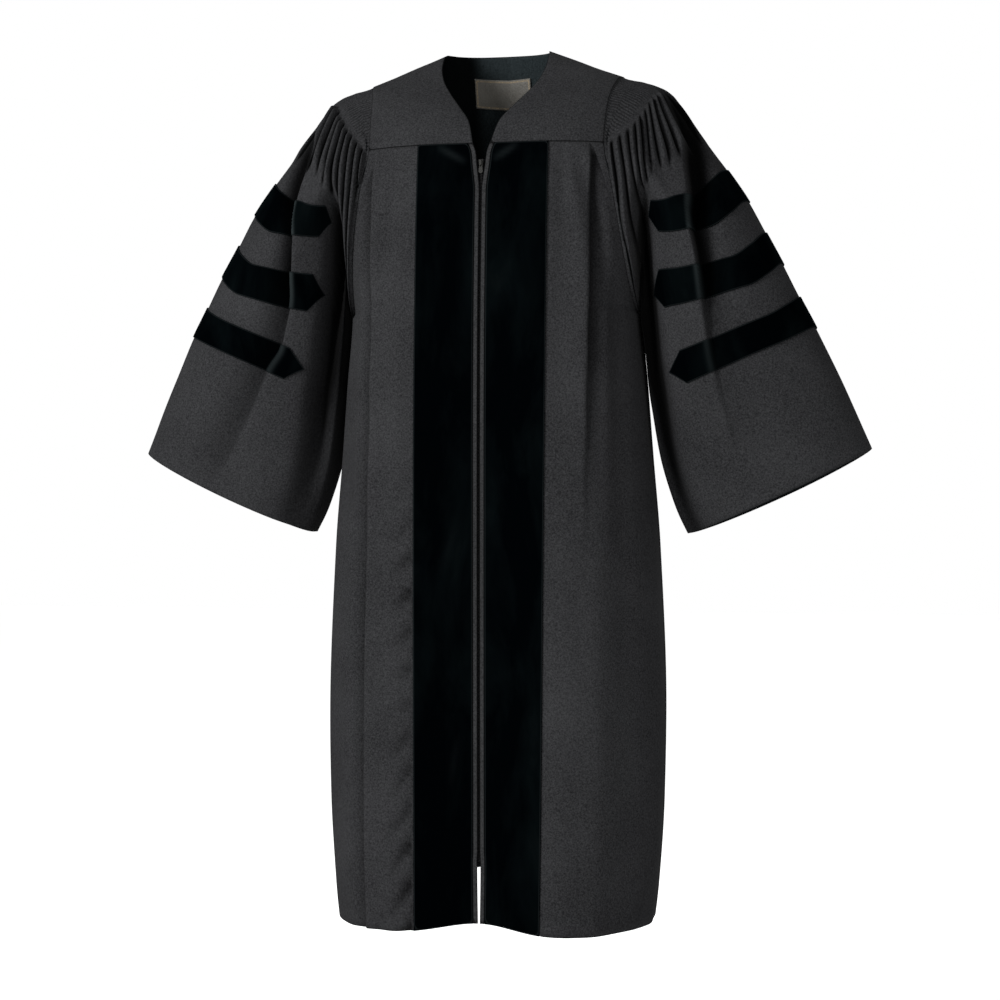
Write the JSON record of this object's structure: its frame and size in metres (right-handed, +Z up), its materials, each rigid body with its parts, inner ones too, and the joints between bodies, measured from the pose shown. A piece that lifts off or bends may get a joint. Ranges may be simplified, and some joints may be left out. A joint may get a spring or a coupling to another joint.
{
  "type": "graduation gown",
  "caption": "Open-necked doctoral gown with a plain yoke, full-length velvet front panels, a zip and wide bell sleeves with pointed velvet bars.",
  "frame": {"origin": "midway between the two points where the shoulder seams meet the neck, where the wearer's shoulders hold the gown up", "axes": "+Z up, the front faces -Y, +X is the wearer's left"},
  "size_m": [1.1, 0.3417, 1.2975],
  "materials": {
    "yoke_front_left": "matt crepe",
    "yoke_front_right": "matt crepe",
    "yoke_back": "matt crepe",
    "front_left": "matt crepe",
    "front_right": "matt crepe",
    "back": "matt crepe",
    "sleeve_left": "matt crepe",
    "sleeve_right": "matt crepe",
    "velvet_left": "velvet pile",
    "velvet_right": "velvet pile",
    "bar_left_1": "velvet pile",
    "bar_left_2": "velvet pile",
    "bar_left_3": "velvet pile",
    "bar_right_1": "velvet pile",
    "bar_right_2": "velvet pile",
    "bar_right_3": "velvet pile",
    "edge_strip_left": "matt woven",
    "edge_strip_right": "matt woven",
    "zip_tape": "matt woven",
    "zip_chain": "matt",
    "zip_slider": "satin",
    "zip_pull": "satin",
    "neck_label": "woven satin"
  },
  "bodies": {
    "gown": {"yoke_front_left": "yoke_front_left", "yoke_front_right": "yoke_front_right", "yoke_back": "yoke_back", "front_left": "front_left", "front_right": "front_right", "back": "back", "sleeve_left": "sleeve_left", "sleeve_right": "sleeve_right", "velvet_left": "velvet_left", "velvet_right": "velvet_right", "bar_left_1": "bar_left_1", "bar_left_2": "bar_left_2", "bar_left_3": "bar_left_3", "bar_right_1": "bar_right_1", "bar_right_2": "bar_right_2", "bar_right_3": "bar_right_3", "edge_strip_left": "edge_strip_left", "edge_strip_right": "edge_strip_right", "zip_tape": "zip_tape", "zip_chain": "zip_chain", "zip_slider": "zip_slider", "neck_label": "neck_label"},
    "pull_tab": {"zip_pull": "zip_pull"}
  },
  "joints": [
    {"name": "pull_tab_hinge", "type": "hinge", "parent": "gown", "child": "pull_tab", "pos_m": [0, -0.13313, -0.18811], "axis": [-1, 0, 0], "range_deg": [0, 130]}
  ]
}
